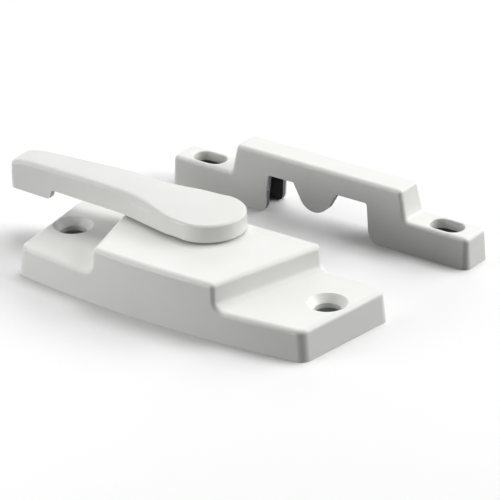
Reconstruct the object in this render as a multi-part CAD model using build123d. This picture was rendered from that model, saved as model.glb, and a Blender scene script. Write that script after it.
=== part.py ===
from build123d import *
import math
import os

# Window sash lock with its keeper, unlocked and laid out side by side.
# Millimetres. +X runs along the lock, +Y goes back towards the keeper, +Z is up off the sash rail.
# The origin is midway between the two screw holes of the lock, on the face that sits on the rail.

# ---- lock housing ----
HOLE_PITCH = 57.15            # 2-1/4 in between screw holes
EAR_TOP = 5.9
BLOCK_TOP = 10.75
REAR_Y = 10.5
REAR_HALF = 35.05
FRONT_HALF = 32.2
CORNER_Y = -12.2
FRONT_Y = -14.65              # bowed front, furthest point
BLOCK_FRONT_HALF = 13.6       # half width of the raised block at the front
BLOCK_REAR_HALF = 20.6        # and at the rear
WALL = 1.8
CASTING_DRAFT = 4.0
END_DRAFT = 6.0
FRONT_CORNER_ROUND = 1.9
REAR_CORNER_ROUND = 2.0
EDGE_ROUND = 1.0
REAR_ROUND = 0.6
JUNCTION_ROUND = 1.8
SCREW_HOLE = 5.1
SCREW_SINK = 7.5              # countersink rim diameter
SCREW_BOSS = 10.6
WINDOW_HALF = 13.0            # cam window in the rear wall
WINDOW_TOP = 7.5

# ---- pivot ----
PIVOT_X = -1.0
PIVOT_Y = 4.6
LEVER_UNDER = 11.2            # underside of the lever
JOURNAL_R = 3.0
BUSH_BORE_R = 3.05
BUSH_R = 3.7
BUSH_FLANGE_R = 4.5
BUSH_FLANGE_TOP = 11.15
PIVOT_BOSS_R = 5.0
PIVOT_BOSS_LOW = 5.2
DRIVE_SIDE = 4.1              # square that turns the cam
TENON_R = 2.0

# ---- lever, measured from the pivot along the arm ----
LEVER_TURN = 0.5              # rest direction of the arm away from -X, degrees
BOSS_R = 7.1
BOSS_RIM = 3.0                # height of the boss wall
BOSS_TOP = 3.35               # edge of its top
BOSS_SAG = 0.2                # and the rise from there to the middle
ARM_END = 43.0
TIP_HALF = 3.0
TIP_LEAN = 0.45               # the end face leans in at the top and out at the foot by this much
FLARE_START = 20.0            # where the arm begins to widen into the boss
FLARE_HALF = 4.15
ARM_SHELL = 1.2               # wall of the hollow arm
ARM_TOP = 4.5
CROWN_SAG = 0.15              # the top of the arm is very nearly flat
SHOULDER_DROP = 0.7           # height and width of the sloping shoulder of the arm
SHOULDER_IN = 0.5
SHOULDER_ROUND = 0.8
BOSS_SHOULDER = 0.42          # rounding of the rim of the boss
TAB_START = 33.0
TAB_DROP = 2.0

# ---- cam ----
CAM_LOW = 1.5
CAM_TOP = 2.5
CAM_COLLAR_TOP = 5.1
CAM_R = 12.4
CAM_SPREAD = 28.0             # half angle of the hook, degrees
HOOK_TOP = 6.9
HOOK_INNER_LEAD = 11.5
HOOK_INNER_TRAIL = 10.9
COLLAR_R = 5.2
COLLAR_FLAT = 4.6

# ---- detent spring, measured from the pivot ----
SPRING_X = -COLLAR_FLAT - 0.3     # face line of the leaf
POST_X = SPRING_X - 1.5           # line of the two posts that hold it
POST_FRONT = -7.6
POST_REAR = 2.2
POST_R = 0.9
SPRING_LOW = 3.4
SPRING_TOP = 4.9

# ---- keeper, measured from its own centre and front face ----
KEEPER_X = 2.0
KEEPER_Y = 33.9
KEEPER_LENGTH = 67.4
KEEPER_DEPTH = 7.0
KEEPER_DRAFT = 3.0            # degrees
KEEPER_ROUND = 0.85           # soft outer edges
KEEPER_EAR_TOP = 6.1
BRIDGE_TOP = 11.9
BRIDGE_HALF_TOP = 18.6
BRIDGE_HALF_LOW = 19.8
KEEPER_WALL = 1.2
KEEPER_ROOF = 2.0
GAP_HALF_TOP = 11.2
GAP_HALF_LOW = 11.9
GAP_TOP = 7.6
TONGUE_X = -0.6
TONGUE_HALF = 4.8             # half width where it leaves the bridge
TONGUE_SLOPE = 60.0           # of its flanks, degrees
TONGUE_TIP_R = 3.5
TONGUE_THICK = 1.8
SLOT_PITCH = 53.98            # 2-1/8 in between slots
SLOT_LENGTH = 6.9
SLOT_WIDTH = 4.3
SLOT_RIM = 0.25


def at_pivot(shape):
    return Pos(PIVOT_X, PIVOT_Y, 0) * shape


def disc(radius, low, high):
    """A plain cylinder on the pivot axis."""
    height = high - low
    return at_pivot(Pos(0, 0, low + height / 2) * Cylinder(radius, height))


# ------------------------------------------------------------------ housing
def housing_outline(front_in=0.0, end_in=0.0, rear_in=0.0):
    """Plan of the casting: straight rear edge, ends splayed to the rear, bowed front."""
    rear = REAR_Y - rear_in
    rear_half = REAR_HALF - end_in
    front_half = FRONT_HALF - end_in
    corner = CORNER_Y + front_in
    front = FRONT_Y + front_in
    edges = [
        ThreePointArc((-front_half, corner), (0, front), (front_half, corner)),
        Line((front_half, corner), (rear_half, rear)),
        Line((rear_half, rear), (-rear_half, rear)),
        Line((-rear_half, rear), (-front_half, corner)),
    ]
    face = make_face(edges)
    front_corners = [vertex for vertex in face.vertices() if vertex.Y < 0]
    face = fillet(front_corners, FRONT_CORNER_ROUND)
    rear_corners = [vertex for vertex in face.vertices() if abs(vertex.Y - rear) < 0.01]
    return fillet(rear_corners, REAR_CORNER_ROUND)


def drafted(height, wall=0.0):
    """Casting shape up to a height: sloping front and ends, upright rear wall; wall > 0 gives the inside."""
    low = housing_outline(wall, wall, wall)
    rise = height * math.tan(math.radians(CASTING_DRAFT))
    end_rise = height * math.tan(math.radians(END_DRAFT))
    high = housing_outline(wall + rise, wall + end_rise, wall)
    return loft([low, Pos(0, 0, height) * high], ruled=True)


def block_plan(inset=0.0):
    """Trapezoid of the raised block, wider at the rear, run past the front and rear walls."""
    low = FRONT_Y - 4
    high = REAR_Y + 4
    slope = (BLOCK_REAR_HALF - BLOCK_FRONT_HALF) / (REAR_Y + 13.9)
    front_half = BLOCK_FRONT_HALF - inset + slope * (low + 13.9)
    rear_half = BLOCK_REAR_HALF - inset + slope * (high - REAR_Y)
    return make_face(Polyline(
        (-front_half, low), (front_half, low), (rear_half, high), (-rear_half, high), close=True))


def outer_casting():
    """Drafted body, cut down to ear height on both sides of the block, all edges softened."""
    body = drafted(BLOCK_TOP)
    above = Pos(0, 0, EAR_TOP + 10) * Box(120, 80, 20)
    prism = extrude(Pos(0, 0, EAR_TOP - 0.01) * block_plan(), 8, taper=CASTING_DRAFT)
    body = body - (above - prism)
    junction = [
        edge for edge in body.edges()
        if abs(edge.center().Z - EAR_TOP) < 0.05 and abs(edge.center().X) < 22
        and edge.length > 15 and abs(edge.tangent_at(0.5).Y) > 0.8
    ]
    body = fillet(junction, JUNCTION_ROUND)
    soft = [edge for edge in body.edges() if edge_is_outer(edge)]
    body = fillet(soft, EDGE_ROUND)
    rear = [edge for edge in body.edges() if edge.center().Z > 1 and edge.center().Y > REAR_Y - 0.05]
    return fillet(rear, REAR_ROUND)


def edge_is_outer(edge):
    """Sharp edges left above the mounting face: block top, block front corners, front and end rims of the ears."""
    centre = edge.center()
    if min(vertex.Z for vertex in edge.vertices()) < EAR_TOP - 0.1 or centre.Y > REAR_Y - 1.0:
        return False
    on_top = abs(centre.Z - BLOCK_TOP) < 0.05
    on_front = centre.Y < -12.4
    on_end = abs(centre.X) > 29
    return on_top or on_front or on_end


def cavity():
    """Hollow open at the rail side: shallow under the ears, deep under the block, with a boss at each screw."""
    space = drafted(BLOCK_TOP - 2.2, WALL)
    above = Pos(0, 0, EAR_TOP - 2.0 + 10) * Box(120, 80, 20)
    deep = extrude(block_plan(WALL + 0.6), 20, taper=2)
    space = space - (above - deep)
    for side in (-1, 1):
        boss = Pos(side * HOLE_PITCH / 2, 0, 5) * Cylinder(SCREW_BOSS / 2, 10)
        space = space - boss
    return space


def screw_holes():
    holes = []
    depth = (SCREW_SINK - SCREW_HOLE) / 2 / math.tan(math.radians(41))
    for side in (-1, 1):
        spot = Pos(side * HOLE_PITCH / 2, 0, 0)
        holes.append(spot * Pos(0, 0, 5) * Cylinder(SCREW_HOLE / 2, 12))
        cone = Cone(SCREW_HOLE / 2, SCREW_SINK / 2, depth)
        holes.append(spot * Pos(0, 0, EAR_TOP - depth / 2) * cone)
        holes.append(spot * Pos(0, 0, EAR_TOP + 1) * Cylinder(SCREW_SINK / 2, 2))
    return holes


def make_housing():
    body = outer_casting()
    body = body - cavity()
    body = body + disc(PIVOT_BOSS_R, PIVOT_BOSS_LOW, BLOCK_TOP - 1.0)
    for post in spring_posts():
        body = body + post
    window = Pos(PIVOT_X, REAR_Y, WINDOW_TOP / 2 - 1) * Box(2 * WINDOW_HALF, 4.9, WINDOW_TOP + 2)
    body = body - window
    for hole in screw_holes():
        body = body - hole
    body = body - disc(BUSH_R, 0, 20)
    return body


# ------------------------------------------------------------------ detent spring
def spring_posts():
    """Two cast posts hanging from the roof beside the cam collar."""
    low = SPRING_LOW - 0.15
    high = 9.0
    posts = []
    for y in (POST_FRONT, POST_REAR):
        spot = Pos(POST_X, y, (low + high) / 2)
        posts.append(at_pivot(spot * Cylinder(POST_R, high - low)))
    return posts


def make_detent_spring():
    """Bowed leaf of spring strip whose ends curl round the posts."""
    curl = POST_R + 0.2
    middle = (POST_FRONT + POST_REAR) / 2
    lower = (POST_X + curl, POST_FRONT)
    upper = (POST_X + curl, POST_REAR)
    lines = [
        ThreePointArc((POST_X - curl, POST_FRONT), (POST_X, POST_FRONT - curl), lower),
        Spline(lower, (SPRING_X, middle), upper, tangents=((0, 1), (0, 1))),
        ThreePointArc(upper, (POST_X, POST_REAR + curl), (POST_X - curl, POST_REAR)),
    ]
    strip = trace(Curve() + lines, line_width=0.35)
    return at_pivot(extrude(Pos(0, 0, SPRING_LOW) * strip, SPRING_TOP - SPRING_LOW))


# ------------------------------------------------------------------ pivot bush
def make_pivot_bush():
    body = disc(BUSH_R, PIVOT_BOSS_LOW + 0.1, BUSH_FLANGE_TOP)
    body = body + disc(BUSH_FLANGE_R, BLOCK_TOP, BUSH_FLANGE_TOP)
    return body - disc(BUSH_BORE_R, 0, 20)


# ------------------------------------------------------------------ lever
def flare_half(x):
    """Half width of the lever between the straight arm and the boss, x from the pivot."""
    along = (x + FLARE_START) / FLARE_START
    return FLARE_HALF + (BOSS_R - FLARE_HALF) * (3 * along ** 2 - 2 * along ** 3)


def lever_plan():
    """Plan of the lever: tapered arm along -X that flares into the round boss."""
    tip_x = -ARM_END - TIP_LEAN
    stations = [-FLARE_START, -15.0, -10.0, -5.0, 0.0]
    upper = [(x, flare_half(x)) for x in stations]
    lower = [(x, -half) for x, half in reversed(upper)]
    edges = [
        Spline(lower, tangents=((-1, 0), (-1, 0.03))),
        Line((-FLARE_START, -FLARE_HALF), (tip_x, -TIP_HALF)),
        Line((tip_x, -TIP_HALF), (tip_x, TIP_HALF)),
        Line((tip_x, TIP_HALF), (-FLARE_START, FLARE_HALF)),
        Spline(upper, tangents=((1, 0.03), (1, 0))),
        ThreePointArc((0, BOSS_R), (BOSS_R, 0), (0, -BOSS_R)),
    ]
    face = make_face(edges)
    tip = face.vertices().sort_by(Axis.X)[:2]
    return fillet(tip, 1.3)


def lever_side():
    """Side view that trims the leaning tip and leaves the downturned finger tab."""
    face = make_face(Polyline(
        (-ARM_END - TIP_LEAN, -TAB_DROP), (-TAB_START - 0.8, -TAB_DROP), (-TAB_START, 0), (12, 0), (12, 8),
        (-ARM_END + 2 * TIP_LEAN, 8), close=True))
    corners = [v for v in face.vertices() if v.Y < -1]
    face = fillet(corners, 0.8)
    return extrude(Plane.XZ * face, 12, both=True)


def crown_profile(half, wall, inner, top, shoulder, sag):
    """Upright section of the lever: side walls, sloping rounded shoulders and a slightly arched top."""
    face = make_face([
        Line((-half, -4), (half, -4)),
        Line((half, -4), (half, wall)),
        Line((half, wall), (inner, top)),
        ThreePointArc((inner, top), (0, top + sag), (-inner, top)),
        Line((-inner, top), (-half, wall)),
        Line((-half, wall), (-half, -4)),
    ])
    return fillet(face.vertices().sort_by(Axis.Y)[-4:], shoulder)


def crown_section(x, half, wall, inner, top, shoulder=SHOULDER_ROUND, sag=CROWN_SAG):
    plane = Plane(origin=(x, 0, 0), x_dir=(0, 1, 0), z_dir=(1, 0, 0))
    return plane * crown_profile(half + 0.05, wall, inner, top, shoulder, sag)


def arm_section(x, dip):
    """Section of the straight arm, its top lowered by dip from the highest point."""
    half = TIP_HALF + (FLARE_HALF - TIP_HALF) * (x + ARM_END) / (ARM_END - FLARE_START)
    top = ARM_TOP - dip
    return crown_section(x, half, top - SHOULDER_DROP, half - SHOULDER_IN, top)


def crown_tool():
    """Body under the lever's top: it dips at the tip and runs down into the round boss."""
    boss = (BOSS_R, BOSS_RIM, BOSS_R - 0.4, BOSS_TOP)
    arm = loft([
        arm_section(-43.5, 1.4),
        arm_section(-42, 0.85),
        arm_section(-39, 0.4),
        arm_section(-35, 0.25),
        arm_section(-28, 0.1),
        arm_section(-FLARE_START, 0),
        crown_section(-15, flare_half(-15), 3.15, 3.75, ARM_TOP - 0.2),
        crown_section(-10, flare_half(-10), 2.75, 4.6, ARM_TOP - 0.6),
        crown_section(-5, flare_half(-5), BOSS_RIM - 0.1, 6.1, BOSS_TOP + 0.1, 0.65, 0.25),
        crown_section(0, *boss, BOSS_SHOULDER, BOSS_SAG),
    ])
    half_profile = crown_profile(BOSS_R + 0.05, *boss[1:], BOSS_SHOULDER, BOSS_SAG)
    half_profile = half_profile & (Pos(10, 0) * Rectangle(20, 20))
    end = revolve(Plane.XZ * half_profile, Axis.Z, 180)
    return arm, Rot(0, 0, -90) * end


def lever_shape():
    """Arm, tab and boss, with the underside of the boss on the plane z = 0."""
    prism = Pos(0, 0, -3) * extrude(lever_plan(), 12)
    blank = prism & lever_side()
    arm, end = crown_tool()
    return (blank & arm) + (blank & end)


def arm_hollow():
    """Cored underside of the arm: thin side walls and tip wall, open below and towards the boss end of the tab."""
    width = TIP_HALF - ARM_SHELL
    root = FLARE_HALF - ARM_SHELL
    plan = make_face(Polyline(
        (-ARM_END + ARM_SHELL, -width), (-FLARE_START, -root), (-12, -root),
        (-12, root), (-FLARE_START, root), (-ARM_END + ARM_SHELL, width), close=True))
    plan = fillet([v for v in plan.vertices() if abs(v.X + 20) > 1], 1.0)
    return extrude(Pos(0, 0, -4) * plan, 4 + 2.4)


def make_lever():
    lever = lever_shape()
    lever = lever - arm_hollow()
    lever = at_pivot(Pos(0, 0, LEVER_UNDER) * Rot(0, 0, LEVER_TURN) * lever)
    lever = lever + disc(JOURNAL_R, CAM_COLLAR_TOP + 0.05, LEVER_UNDER + 0.5)
    drive_height = CAM_COLLAR_TOP + 0.1 - CAM_LOW
    square = Box(DRIVE_SIDE, DRIVE_SIDE, drive_height)
    lever = lever + at_pivot(Pos(0, 0, CAM_LOW + drive_height / 2) * square)
    lever = lever + disc(TENON_R, 0.5, CAM_LOW + 0.5)
    rivet = Pos(0, 0, 0.45) * Cone(2.4, 3.1, 0.46)
    return lever + at_pivot(rivet)


# ------------------------------------------------------------------ cam
def polar(radius, degrees):
    angle = math.radians(degrees)
    return (radius * math.cos(angle), radius * math.sin(angle))


def make_cam():
    """Steel plate with an upright spiral hook, turned by the square; points away from the keeper at rest."""
    aim = -90
    lead = aim + CAM_SPREAD
    trail = aim - CAM_SPREAD
    sector = make_face([
        Line(polar(4, trail - 25), polar(CAM_R, trail)),
        ThreePointArc(polar(CAM_R, trail), polar(CAM_R, aim), polar(CAM_R, lead)),
        Line(polar(CAM_R, lead), polar(4, lead + 25)),
        Line(polar(4, lead + 25), (0, 0)),
        Line((0, 0), polar(4, trail - 25)),
    ])
    plate = extrude(sector + Circle(5.6), CAM_TOP - CAM_LOW)
    middle = (HOOK_INNER_LEAD + HOOK_INNER_TRAIL) / 2
    hook = make_face([
        Line(polar(HOOK_INNER_TRAIL, trail), polar(CAM_R, trail)),
        ThreePointArc(polar(CAM_R, trail), polar(CAM_R, aim), polar(CAM_R, lead)),
        Line(polar(CAM_R, lead), polar(HOOK_INNER_LEAD, lead)),
        ThreePointArc(polar(HOOK_INNER_LEAD, lead), polar(middle, aim), polar(HOOK_INNER_TRAIL, trail)),
    ])
    hook = extrude(hook, HOOK_TOP - CAM_LOW)
    collar = Pos(0, 0, CAM_TOP - CAM_LOW) * extrude(
        Circle(COLLAR_R) & Rectangle(2 * COLLAR_FLAT, 20), CAM_COLLAR_TOP - CAM_TOP)
    cam = plate + hook + collar
    hole = Box(DRIVE_SIDE + 0.1, DRIVE_SIDE + 0.1, 20)
    cam = cam - hole
    return at_pivot(Pos(0, 0, CAM_LOW) * cam)


# ------------------------------------------------------------------ washers
def make_spring_washer():
    """Shallow cone-shaped spring washer squeezed between the cam and the retaining washer."""
    profile = Plane.XZ * make_face(Polyline((2.4, 1.13), (4.5, 1.29), (4.5, 1.47), (2.4, 1.31), close=True))
    return at_pivot(revolve(profile, Axis.Z))


def make_retaining_washer():
    return disc(4.6, 0.7, 1.1) - disc(TENON_R + 0.05, 0, 3)


# ------------------------------------------------------------------ keeper
def keeper_outline(inset=0.0):
    face = Pos(0, KEEPER_DEPTH / 2) * Rectangle(KEEPER_LENGTH - 2 * inset, KEEPER_DEPTH - 2 * inset)
    return fillet(face.vertices(), max(0.3, 1.2 - inset))


def keeper_casting():
    """Bridge with two ears, drafted, edges softened."""
    body = extrude(keeper_outline(), BRIDGE_TOP, taper=KEEPER_DRAFT)
    above = Pos(0, 0, KEEPER_EAR_TOP + 10) * Box(90, 30, 20)
    bridge = Plane.XZ * make_face(Polyline(
        (-BRIDGE_HALF_LOW, KEEPER_EAR_TOP - 0.01), (BRIDGE_HALF_LOW, KEEPER_EAR_TOP - 0.01),
        (BRIDGE_HALF_TOP, BRIDGE_TOP), (BRIDGE_HALF_TOP, BRIDGE_TOP + 1),
        (-BRIDGE_HALF_TOP, BRIDGE_TOP + 1), (-BRIDGE_HALF_TOP, BRIDGE_TOP), close=True))
    body = body - (above - extrude(bridge, 30, both=True))
    inner = body.edges().filter_by(
        lambda e: abs(e.center().Z - KEEPER_EAR_TOP) < 0.05 and abs(abs(e.center().X) - BRIDGE_HALF_LOW) < 0.1)
    body = fillet(inner, 0.8)
    soft = body.edges().filter_by(lambda e: min(v.Z for v in e.vertices()) > 3 and not is_keeper_crease(e))
    return fillet(soft, KEEPER_ROUND)


def is_keeper_crease(edge):
    """Edges left by the rounding in the inside corner between ear and bridge."""
    centre = edge.center()
    along_y = abs(edge.tangent_at(0.5).Y) > 0.9
    return along_y and centre.Z < BRIDGE_TOP - 0.5 and abs(abs(centre.X) - BRIDGE_HALF_LOW) < 1.5


def keeper_gap():
    """Opening through both walls under the bridge, rounded where it meets the rail."""
    low = -1.0
    shape = make_face(Polyline(
        (-GAP_HALF_LOW - 0.08, low), (GAP_HALF_LOW + 0.08, low), (GAP_HALF_TOP, GAP_TOP),
        (-GAP_HALF_TOP, GAP_TOP), close=True))
    top = shape.vertices().sort_by(Axis.Y)[-2:]
    shape = fillet(top, 0.5)
    return extrude(Plane.XZ * shape, 40, both=True)


def leg_round(side, radius):
    """Cutter that rounds one lower corner of the opening."""
    x = side * (GAP_HALF_LOW + 0.02)
    block = Rectangle(radius + 1, radius + 1, align=(Align.MIN, Align.MIN))
    corner = Pos(-1, -1) * block - Pos(radius, radius) * Circle(radius)
    corner = corner - (Pos(radius / 2 + 0.5, radius + 0.5) * Rectangle(radius + 3, 1))
    shape = Pos(x, 0) * corner if side > 0 else Pos(x, 0) * mirror(corner, about=Plane.YZ)
    return extrude(Plane.XZ * shape, 40, both=True)


def tongue():
    """Rounded tongue that hangs from the front wall into the opening, flush with the front."""
    apex = GAP_TOP - TONGUE_HALF * math.tan(math.radians(TONGUE_SLOPE))
    root = GAP_TOP + 1.4
    outline = make_face(Polyline(
        (-TONGUE_HALF, root), (-TONGUE_HALF, GAP_TOP), (0, apex), (TONGUE_HALF, GAP_TOP), (TONGUE_HALF, root),
        close=True))
    tip = outline.vertices().sort_by(Axis.Y)[0]
    outline = fillet(tip, TONGUE_TIP_R)
    solid = Pos(TONGUE_X, 0, 0) * extrude(Plane.XZ * outline, -(TONGUE_THICK + 0.3))
    return solid & extrude(keeper_outline(), BRIDGE_TOP, taper=KEEPER_DRAFT)


def keeper_slots():
    cuts = []
    for side in (-1, 1):
        slot = SlotOverall(SLOT_LENGTH, SLOT_WIDTH)
        cut = Pos(side * SLOT_PITCH / 2, KEEPER_DEPTH / 2, 3) * extrude(slot, 6)
        cuts.append(cut)
    return cuts


def make_keeper():
    body = keeper_casting()
    ears = extrude(keeper_outline(KEEPER_WALL), KEEPER_EAR_TOP - KEEPER_ROOF, taper=KEEPER_DRAFT)
    arch = extrude(keeper_outline(KEEPER_WALL), BRIDGE_TOP - KEEPER_ROOF, taper=KEEPER_DRAFT)
    arch = arch & Box(2 * (BRIDGE_HALF_TOP - 2.2), 60, 60)
    body = body - ears - arch
    body = body - keeper_gap()
    body = body - leg_round(-1, 1.0) - leg_round(1, 1.8)
    body = body + tongue()
    for cut in keeper_slots():
        body = body - cut
    rims = [
        edge for edge in body.edges()
        if abs(edge.center().Z - KEEPER_EAR_TOP) < 0.02 and abs(edge.center().Y - KEEPER_DEPTH / 2) < 2.5
        and abs(abs(edge.center().X) - SLOT_PITCH / 2) < SLOT_LENGTH / 2 and edge.length < 9
    ]
    body = fillet(rims, SLOT_RIM)
    return Pos(KEEPER_X, KEEPER_Y, 0) * body


PIECES = {
    "housing": make_housing,
    "pivot_bush": make_pivot_bush,
    "detent_spring": make_detent_spring,
    "lever": make_lever,
    "cam": make_cam,
    "spring_washer": make_spring_washer,
    "retaining_washer": make_retaining_washer,
    "keeper": make_keeper,
}

os.makedirs("parts", exist_ok=True)
for name, make in PIECES.items():
    piece = make()
    print(name, len(piece.solids()), round(piece.volume, 2), piece.bounding_box())
    export_step(piece, f"parts/{name}.step")
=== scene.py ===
import math

import bpy
from mathutils import Matrix, Vector


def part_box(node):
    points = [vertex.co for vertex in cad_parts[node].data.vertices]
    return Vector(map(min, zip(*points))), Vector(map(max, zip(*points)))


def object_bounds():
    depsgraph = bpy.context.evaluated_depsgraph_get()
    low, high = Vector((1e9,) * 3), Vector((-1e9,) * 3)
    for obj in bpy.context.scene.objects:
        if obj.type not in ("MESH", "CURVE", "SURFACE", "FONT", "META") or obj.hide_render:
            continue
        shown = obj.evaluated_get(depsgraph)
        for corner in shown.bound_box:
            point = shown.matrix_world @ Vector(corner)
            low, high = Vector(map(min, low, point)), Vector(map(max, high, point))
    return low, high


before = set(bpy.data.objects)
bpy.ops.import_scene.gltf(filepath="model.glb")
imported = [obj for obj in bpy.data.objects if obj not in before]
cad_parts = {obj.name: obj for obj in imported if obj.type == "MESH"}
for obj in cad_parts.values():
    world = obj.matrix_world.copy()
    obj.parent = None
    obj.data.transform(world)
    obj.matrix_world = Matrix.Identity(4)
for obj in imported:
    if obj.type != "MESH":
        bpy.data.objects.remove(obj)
cad_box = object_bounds()

MM = 0.001
SENSOR = 36.0
WHITE_PAINT = ((0.800, 0.805, 0.778), (0.822, 0.826, 0.800))   # darker and lighter clouds of the paint
LEVER_PAINTED_SHADE = 0.91            # painted shade: darkens the lever's whole paint, to offset the arm's too flat, too light top; not seen on the real lever
HOUSING_HOLLOW_SHADE = 0.30           # painted shade: dark tone put on the hollow inside of each casting
LEVER_HOLLOW_SHADE = 0.14
KEEPER_HOLLOW_SHADE = 0.08
PAINT_ROUGHNESS = (0.42, 0.54)
PAINT_COAT = 0.2
PAINT_COAT_ROUGHNESS = 0.28
FINE_PEEL = 0.02 * MM         # height of the orange peel
BROAD_WAVE = 0.06 * MM        # and of the waves in the casting under it
GRAIN_HEIGHT = 0.02 * MM      # rolled grain of the zinc plate, and skin of the nylon
MARK_HEIGHT = 0.01 * MM       # drawing marks of the spring strip
FLOOR_SIDE = 6.0
FLOOR_GAP = 0.05 * MM
LIGHT_AIM = Vector((0.0, 0.012, 0.005))
WORLD_STRENGTH = 0.042

scene = bpy.context.scene


# ---------------------------------------------------------------- material helpers
def new_material(name):
    """A material with an empty tree but for its output and one Principled shader."""
    material = bpy.data.materials.new(name)
    material.use_nodes = True
    tree = material.node_tree
    tree.nodes.clear()
    output = tree.nodes.new("ShaderNodeOutputMaterial")
    shader = tree.nodes.new("ShaderNodeBsdfPrincipled")
    tree.links.new(shader.outputs["BSDF"], output.inputs["Surface"])
    return material, tree, shader


def object_coords(tree, scale=1.0):
    """Object coordinates scaled so that 1 is `scale` millimetres."""
    coords = tree.nodes.new("ShaderNodeTexCoord")
    mapping = tree.nodes.new("ShaderNodeMapping")
    size = 1.0 / (scale * MM)
    mapping.inputs["Scale"].default_value = (size, size, size)
    tree.links.new(coords.outputs["Object"], mapping.inputs["Vector"])
    return mapping.outputs["Vector"]


def noise(tree, vector, scale, detail=3.0, rough=0.5):
    """Factor of a noise texture, 0 to 1."""
    node = tree.nodes.new("ShaderNodeTexNoise")
    node.inputs["Scale"].default_value = scale
    node.inputs["Detail"].default_value = detail
    node.inputs["Roughness"].default_value = rough
    tree.links.new(vector, node.inputs["Vector"])
    return node.outputs["Fac"]


def ramp(tree, factor, stops):
    """Colour from a factor, given as (position, colour) stops."""
    node = tree.nodes.new("ShaderNodeValToRGB")
    elements = node.color_ramp.elements
    while len(elements) < len(stops):
        elements.new(0.5)
    for element, (position, colour) in zip(elements, stops):
        element.position = position
        element.color = (*colour, 1.0)
    tree.links.new(factor, node.inputs["Fac"])
    return node.outputs["Color"]


def remap(tree, factor, low, high):
    """A factor of 0 to 1 brought to the range low to high."""
    node = tree.nodes.new("ShaderNodeMapRange")
    node.inputs["To Min"].default_value = low
    node.inputs["To Max"].default_value = high
    tree.links.new(factor, node.inputs["Value"])
    return node.outputs["Result"]


def bump(tree, height, strength, distance):
    """Bump node on a height factor; distance is its full height in metres."""
    node = tree.nodes.new("ShaderNodeBump")
    node.inputs["Strength"].default_value = strength
    node.inputs["Distance"].default_value = distance
    tree.links.new(height, node.inputs["Height"])
    return node


def box_mask(tree, low, high, fade=0.15):
    """1 inside the box between two corners in millimetres, 0 outside it."""
    links = tree.links
    coords = tree.nodes.new("ShaderNodeTexCoord")
    steps = []
    for operation, operand in (
            ("SUBTRACT", [(a + b) / 2 * MM for a, b in zip(low, high)]),
            ("ABSOLUTE", None),
            ("SUBTRACT", [(b - a) / 2 * MM for a, b in zip(low, high)])):
        node = tree.nodes.new("ShaderNodeVectorMath")
        node.operation = operation
        if operand:
            node.inputs[1].default_value = operand
        source = steps[-1].outputs["Vector"] if steps else coords.outputs["Object"]
        links.new(source, node.inputs[0])
        steps.append(node)
    parts = tree.nodes.new("ShaderNodeSeparateXYZ")
    links.new(steps[-1].outputs["Vector"], parts.inputs["Vector"])
    furthest = parts.outputs["X"]
    for axis in ("Y", "Z"):
        node = tree.nodes.new("ShaderNodeMath")
        node.operation = "MAXIMUM"
        links.new(furthest, node.inputs[0])
        links.new(parts.outputs[axis], node.inputs[1])
        furthest = node.outputs["Value"]
    edge = tree.nodes.new("ShaderNodeMapRange")
    edge.interpolation_type = "SMOOTHSTEP"
    edge.inputs["From Min"].default_value = -fade * MM
    edge.inputs["From Max"].default_value = fade * MM
    edge.inputs["To Min"].default_value = 1.0
    edge.inputs["To Max"].default_value = 0.0
    links.new(furthest, edge.inputs["Value"])
    return edge.outputs["Result"]


def either(tree, masks):
    """Union of masks."""
    union = masks[0]
    for mask in masks[1:]:
        node = tree.nodes.new("ShaderNodeMath")
        node.operation = "MAXIMUM"
        tree.links.new(union, node.inputs[0])
        tree.links.new(mask, node.inputs[1])
        union = node.outputs["Value"]
    return union


def blend_colour(tree, factor, first, second):
    """The first colour where the factor is 0 and the second where it is 1."""
    node = tree.nodes.new("ShaderNodeMix")
    node.data_type = "RGBA"
    colour_inputs = [socket for socket in node.inputs if socket.type == "RGBA"]
    tree.links.new(factor, node.inputs[0])
    tree.links.new(first, colour_inputs[0])
    tree.links.new(second, colour_inputs[1])
    return [socket for socket in node.outputs if socket.type == "RGBA"][0]


def painted_casting(name, hollows, hollow_shade_tone, white=1.0):
    """White baked paint on a die casting, with faint orange peel and mottling of colour and gloss.

    The hollow side, given as boxes in millimetres, gets painted shade: a dark, grainy tone. A white
    below 1 darkens all the paint, which on the lever is painted shade.
    """
    material, tree, shader = new_material(name)
    links = tree.links
    vector = object_coords(tree)
    cloud = noise(tree, vector, 0.16, 2.0)
    # white below 1 darkens the whole paint: painted shade on the lever
    darker, lighter = [tuple(channel * white for channel in colour) for colour in WHITE_PAINT]
    paint = ramp(tree, cloud, [(0.3, darker), (0.7, lighter)])
    grain = noise(tree, vector, 2.2, 5.0, 0.7)
    # painted shade: dark grainy tone for the hollow side, where shade falls
    light, dark = hollow_shade_tone * 1.3, hollow_shade_tone * 0.7
    hollow_shade = ramp(tree, grain, [
        (0.3, (dark, dark * 1.04, dark * 1.06)), (0.7, (light, light * 1.02, light * 1.03))])
    # mask of the hollows that get the painted shade
    inside = either(tree, [box_mask(tree, low, high) for low, high in hollows])
    links.new(blend_colour(tree, inside, paint, hollow_shade), shader.inputs["Base Color"])
    haze = noise(tree, vector, 0.5, 3.0)
    links.new(remap(tree, haze, *PAINT_ROUGHNESS), shader.inputs["Roughness"])
    peel = noise(tree, vector, 1.6, 2.0)
    wave = noise(tree, vector, 0.35, 1.0)
    fine = bump(tree, peel, 0.10, FINE_PEEL)
    broad = bump(tree, wave, 0.25, BROAD_WAVE)
    links.new(broad.outputs["Normal"], fine.inputs["Normal"])
    links.new(fine.outputs["Normal"], shader.inputs["Normal"])
    shader.inputs["Coat Weight"].default_value = PAINT_COAT
    shader.inputs["Coat Roughness"].default_value = PAINT_COAT_ROUGHNESS
    return material


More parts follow.
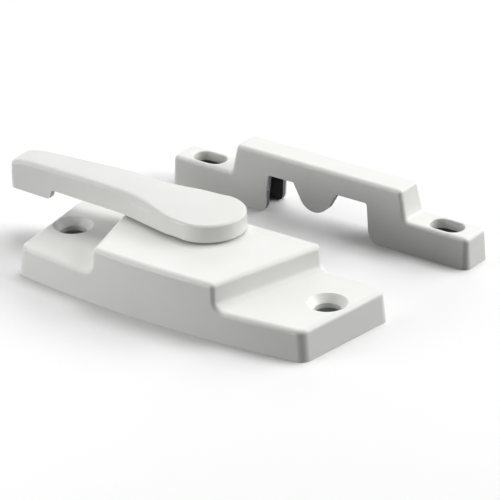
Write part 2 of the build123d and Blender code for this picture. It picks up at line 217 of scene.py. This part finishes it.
def zinc_plate():
    """Bright zinc plate on stamped steel: rolled grain, slight blue and yellow clouding."""
    material, tree, shader = new_material("zinc_plate")
    links = tree.links
    vector = object_coords(tree)
    cloud = noise(tree, vector, 0.5, 4.0)
    tint = ramp(tree, cloud, [
        (0.3, (0.50, 0.52, 0.55)), (0.55, (0.60, 0.60, 0.58)), (0.75, (0.62, 0.60, 0.54))])
    links.new(tint, shader.inputs["Base Color"])
    shader.inputs["Metallic"].default_value = 1.0
    grain = tree.nodes.new("ShaderNodeMapping")
    grain.inputs["Scale"].default_value = (6.0, 0.5, 6.0)
    links.new(vector, grain.inputs["Vector"])
    lines = noise(tree, grain.outputs["Vector"], 1.0, 4.0, 0.6)
    links.new(remap(tree, lines, 0.24, 0.48), shader.inputs["Roughness"])
    links.new(bump(tree, lines, 0.25, GRAIN_HEIGHT).outputs["Normal"], shader.inputs["Normal"])
    return material


def spring_steel():
    """Blued spring strip with drawing marks."""
    material, tree, shader = new_material("spring_steel")
    links = tree.links
    vector = object_coords(tree)
    cloud = noise(tree, vector, 0.8, 4.0)
    tint = ramp(tree, cloud, [(0.3, (0.16, 0.17, 0.20)), (0.7, (0.28, 0.28, 0.29))])
    links.new(tint, shader.inputs["Base Color"])
    shader.inputs["Metallic"].default_value = 1.0
    marks = noise(tree, vector, 5.0, 3.0)
    links.new(remap(tree, marks, 0.22, 0.42), shader.inputs["Roughness"])
    links.new(bump(tree, marks, 0.2, MARK_HEIGHT).outputs["Normal"], shader.inputs["Normal"])
    return material


def nylon():
    """Natural nylon, slightly waxy."""
    material, tree, shader = new_material("nylon")
    links = tree.links
    vector = object_coords(tree)
    cloud = noise(tree, vector, 0.6, 3.0)
    tint = ramp(tree, cloud, [(0.3, (0.66, 0.64, 0.55)), (0.7, (0.74, 0.72, 0.64))])
    links.new(tint, shader.inputs["Base Color"])
    links.new(remap(tree, noise(tree, vector, 3.0), 0.42, 0.58), shader.inputs["Roughness"])
    skin = bump(tree, noise(tree, vector, 4.0), 0.15, GRAIN_HEIGHT)
    links.new(skin.outputs["Normal"], shader.inputs["Normal"])
    shader.inputs["Subsurface Weight"].default_value = 0.1
    shader.inputs["Subsurface Radius"].default_value = (0.001, 0.001, 0.0008)
    shader.inputs["Subsurface Scale"].default_value = 0.5
    return material


def corner_mm(node):
    """Lowest and highest corner of a CAD node, in millimetres."""
    low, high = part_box(node)
    return low / MM, high / MM


def housing_hollows():
    """Under the ears, and deeper under the block; clear of the outer walls."""
    low, high = corner_mm("housing")
    front, rear = low.y + 6.0, high.y - 2.0
    return [
        ((low.x + 3.3, front, -1.0), (high.x - 3.3, rear, 3.6)),
        ((-13.0, front, -1.0), (13.0, rear, high.z - 2.3)),
    ]


def lever_hollows():
    """The cored underside of the arm, narrower towards the tip."""
    low = corner_mm("lever")[0]
    return [
        ((low.x + 1.2, 2.05, 8.0), (-33.0, 6.45, 13.8)),
        ((-33.0, 1.25, 8.0), (-13.0, 7.65, 13.8)),
    ]


def keeper_hollows():
    """The trough under the ears and the deeper one under the bridge."""
    low, high = corner_mm("keeper")
    return [
        ((low.x + 1.5, low.y + 0.5, -1.0), (high.x - 1.5, high.y - 0.5, 4.2)),
        ((low.x + 15.4, low.y + 0.9, -1.0), (high.x - 15.4, high.y - 0.9, high.z - 1.95)),
    ]


ZINC = zinc_plate()
STEEL = spring_steel()
# the lever's darker paint and the dark hollows of the castings are painted shade
FINISH = {
    "housing": painted_casting("housing_paint", housing_hollows(), HOUSING_HOLLOW_SHADE),
    "lever": painted_casting("lever_paint", lever_hollows(), LEVER_HOLLOW_SHADE, LEVER_PAINTED_SHADE),
    "keeper": painted_casting("keeper_paint", keeper_hollows(), KEEPER_HOLLOW_SHADE),
    "cam": ZINC,
    "retaining_washer": ZINC,
    "detent_spring": STEEL,
    "spring_washer": STEEL,
    "pivot_bush": nylon(),
}
for node, material in FINISH.items():
    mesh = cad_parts[node].data
    mesh.materials.clear()
    mesh.materials.append(material)


# ---------------------------------------------------------------- floor
def floor():
    """Plain white floor under the object."""
    low = cad_box[0][2]
    bpy.ops.mesh.primitive_plane_add(size=FLOOR_SIDE, location=(0, 0, low - FLOOR_GAP))
    plane = bpy.context.object
    plane.name = "floor"
    material, tree, shader = new_material("floor_white")
    vector = object_coords(tree, 100.0)
    cloud = noise(tree, vector, 1.0, 2.0)
    tint = ramp(tree, cloud, [(0.0, (0.88, 0.88, 0.88)), (1.0, (0.90, 0.90, 0.90))])
    tree.links.new(tint, shader.inputs["Base Color"])
    shader.inputs["Roughness"].default_value = 0.8
    plane.data.materials.append(material)
    plane.visible_diffuse = False      # throws no light back up, which made the front faces too light


# ---------------------------------------------------------------- light
def softbox(name, azimuth, elevation, distance, width, height, watts):
    """A soft area light aimed at the object: azimuth 0 is in front, 90 on the right, 180 behind.

    Angles are in degrees, the distance and the size of the light in metres.
    """
    light = bpy.data.lights.new(name, "AREA")
    light.shape = "RECTANGLE"
    light.size = width
    light.size_y = height
    light.energy = watts
    thing = bpy.data.objects.new(name, light)
    scene.collection.objects.link(thing)
    across, up = math.radians(azimuth), math.radians(elevation)
    away = Vector((math.sin(across) * math.cos(up), -math.cos(across) * math.cos(up), math.sin(up)))
    thing.location = LIGHT_AIM + away * distance
    thing.rotation_euler = (-away).to_track_quat("-Z", "Y").to_euler()
    thing.visible_camera = False


def world_light(strength):
    """An even, weak fill from all round."""
    world = bpy.data.worlds.new("studio")
    scene.world = world
    world.use_nodes = True
    background = world.node_tree.nodes["Background"]
    background.inputs["Color"].default_value = (1.0, 1.0, 1.0, 1.0)
    background.inputs["Strength"].default_value = strength


def studio():
    """Main lights from the right rear and overhead, weaker ones on the left, and a small near one.

    The powers began as a least-squares fit to tones of the picture, then were rounded and set one by
    one.
    """
    softbox("front_left", 300, 12, 0.8, 0.39, 0.30, 0.98)
    softbox("front_left_high", 300, 48, 0.8, 0.52, 0.40, 0.98)
    softbox("right_rear", 120, 28, 0.8, 0.44, 0.34, 3.45)
    softbox("rear_right", 150, 28, 0.8, 0.44, 0.34, 2.20)
    softbox("rear_left", 210, 28, 0.8, 0.44, 0.34, 0.74)
    softbox("left", 240, 12, 0.8, 0.39, 0.30, 0.54)
    softbox("overhead", 180, 68, 0.8, 0.52, 0.40, 3.25)
    softbox("near_left", 330, 12, 0.25, 0.12, 0.10, 0.24)
    world_light(WORLD_STRENGTH)


# ---------------------------------------------------------------- camera
CAMERA_AZIMUTH = 37.55
CAMERA_ELEVATION = 26.55
CAMERA_ROLL = -1.79
CAMERA_DISTANCE = 0.7709
CAMERA_LENS = 306.9
LOOK_RIGHT = 9.26 * MM        # where the middle of the view lies from the origin, across the view
LOOK_UP = 7.63 * MM           # and up the view


def camera():
    """Long lens from the front right, slightly rolled."""
    azimuth = math.radians(CAMERA_AZIMUTH)
    elevation = math.radians(CAMERA_ELEVATION)
    roll = math.radians(CAMERA_ROLL)
    back = Vector((
        math.sin(azimuth) * math.cos(elevation),
        -math.cos(azimuth) * math.cos(elevation),
        math.sin(elevation)))
    right = Vector((math.cos(azimuth), math.sin(azimuth), 0.0))
    up = back.cross(right)
    rolled_right = right * math.cos(roll) + up * math.sin(roll)
    rolled_up = up * math.cos(roll) - right * math.sin(roll)
    data = bpy.data.cameras.new("camera")
    data.lens = CAMERA_LENS
    data.sensor_width = SENSOR
    data.clip_start = 0.01
    data.clip_end = 20.0
    thing = bpy.data.objects.new("camera", data)
    scene.collection.objects.link(thing)
    place = back * CAMERA_DISTANCE
    target = rolled_right * LOOK_RIGHT + rolled_up * LOOK_UP
    view_back = (place - target).normalized()
    view_right = rolled_up.cross(view_back).normalized()
    view_up = view_back.cross(view_right)
    matrix = Matrix((view_right, view_up, view_back)).transposed().to_4x4()
    matrix.translation = place
    thing.matrix_world = matrix
    scene.camera = thing


floor()
studio()
camera()
scene.view_settings.view_transform = "Standard"
